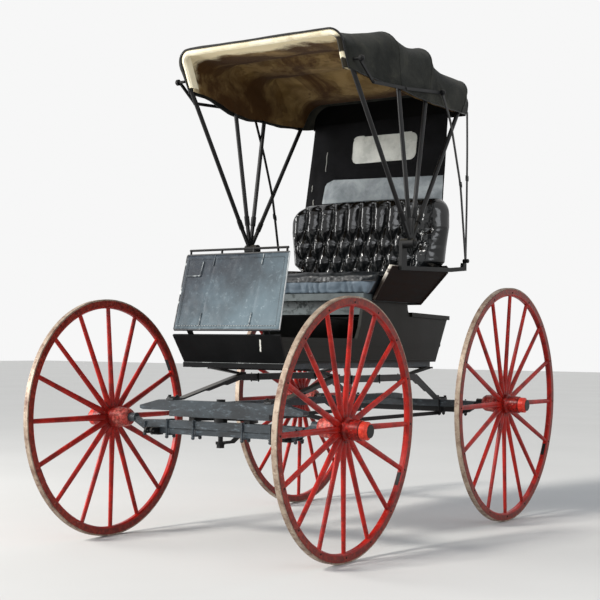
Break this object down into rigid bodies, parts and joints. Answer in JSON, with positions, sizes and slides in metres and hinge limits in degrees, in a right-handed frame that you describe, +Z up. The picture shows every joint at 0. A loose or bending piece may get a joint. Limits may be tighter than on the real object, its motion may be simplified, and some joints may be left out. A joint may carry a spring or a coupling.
{
  "type": "horse_drawn_carriage",
  "caption": "Horse-drawn carriage with a folding top on bows, buttoned leather seat, leather dash, side springs and red spoked wheels on steel tyres",
  "frame": {"origin": "on the ground, midway between the front and rear ends of the wheels, on the centre line", "axes": "+Z up, the front faces -Y, +X is the vehicle's left side"},
  "size_m": [1.5368, 2.8244, 2.3864],
  "materials": {
    "black_wood": "satin",
    "undercarriage_wood": "worn",
    "black_iron": "worn",
    "steel_tyre": "dusty",
    "red_wood": "painted",
    "hub_metal": "worn",
    "spring_steel": "worn",
    "black_leather": "glossy",
    "top_cloth": "matte",
    "window_pane": "clouded",
    "seat_grey": "worn",
    "brown_wood": "satin"
  },
  "bodies": {
    "carriage": {"rear_axle": "black_iron", "fifth_wheel_upper": "black_iron", "kingbolt": "black_iron", "kingbolt_stay": "black_iron", "reach_left": "black_iron", "reach_right": "black_iron", "body_loop_front": "black_iron", "body_loop_rear": "black_iron", "dash_rail": "black_iron", "dash_iron_left": "black_iron", "dash_iron_right": "black_iron", "seat_iron_left": "black_iron", "seat_iron_right": "black_iron", "top_joint_left": "black_iron", "top_joint_right": "black_iron", "rear_bed": "undercarriage_wood", "front_bolster": "undercarriage_wood", "perch": "undercarriage_wood", "sill_left": "undercarriage_wood", "sill_right": "undercarriage_wood", "side_spring_left": "spring_steel", "side_spring_right": "spring_steel", "body_side_left": "black_wood", "body_side_right": "black_wood", "front_board": "black_wood", "floor_board": "black_wood", "rear_panel": "black_wood", "box_rail": "black_wood", "seat_riser": "seat_grey", "seat_board": "seat_grey", "seat_side_left": "brown_wood", "seat_side_right": "brown_wood", "seat_back": "brown_wood", "seat_cushion": "black_leather", "seat_squab": "black_leather", "dash": "black_leather", "bow_1": "black_leather", "bow_2": "black_leather", "bow_3": "black_leather", "bow_4": "black_leather", "top_cover": "top_cloth", "rear_curtain": "top_cloth", "rear_window": "window_pane"},
    "front_gear": {"front_axle": "black_iron", "front_bed": "undercarriage_wood", "shaft_coupling_left": "black_iron", "shaft_coupling_right": "black_iron", "fifth_wheel_lower": "black_iron"},
    "wheel_front_left_set": {"tyre_front_left": "steel_tyre", "wheel_front_left": "red_wood", "hub_cap_front_left": "hub_metal"},
    "wheel_front_right_set": {"tyre_front_right": "steel_tyre", "wheel_front_right": "red_wood", "hub_cap_front_right": "hub_metal"},
    "wheel_rear_left_set": {"tyre_rear_left": "steel_tyre", "wheel_rear_left": "red_wood", "hub_cap_rear_left": "hub_metal"},
    "wheel_rear_right_set": {"tyre_rear_right": "steel_tyre", "wheel_rear_right": "red_wood", "hub_cap_rear_right": "hub_metal"}
  },
  "joints": [
    {"name": "steering", "type": "hinge", "parent": "carriage", "child": "front_gear", "pos_m": [0, -0.8534, 0.56], "axis": [0, 0, 1], "range_deg": [-25, 25]},
    {"name": "spin_front_left", "type": "hinge", "parent": "front_gear", "child": "wheel_front_left_set", "pos_m": [0.63756, -0.8534, 0.55953], "axis": [0.9995, 0, -0.0314], "continuous": true},
    {"name": "spin_front_right", "type": "hinge", "parent": "front_gear", "child": "wheel_front_right_set", "pos_m": [-0.63756, -0.8534, 0.55953], "axis": [-0.9995, 0, -0.0314], "continuous": true},
    {"name": "spin_rear_left", "type": "hinge", "parent": "carriage", "child": "wheel_rear_left_set", "pos_m": [0.6333, 0.8026, 0.61015], "axis": [0.9998, 0, -0.0218], "continuous": true},
    {"name": "spin_rear_right", "type": "hinge", "parent": "carriage", "child": "wheel_rear_right_set", "pos_m": [-0.6333, 0.8026, 0.61015], "axis": [-0.9998, 0, -0.0218], "continuous": true}
  ]
}
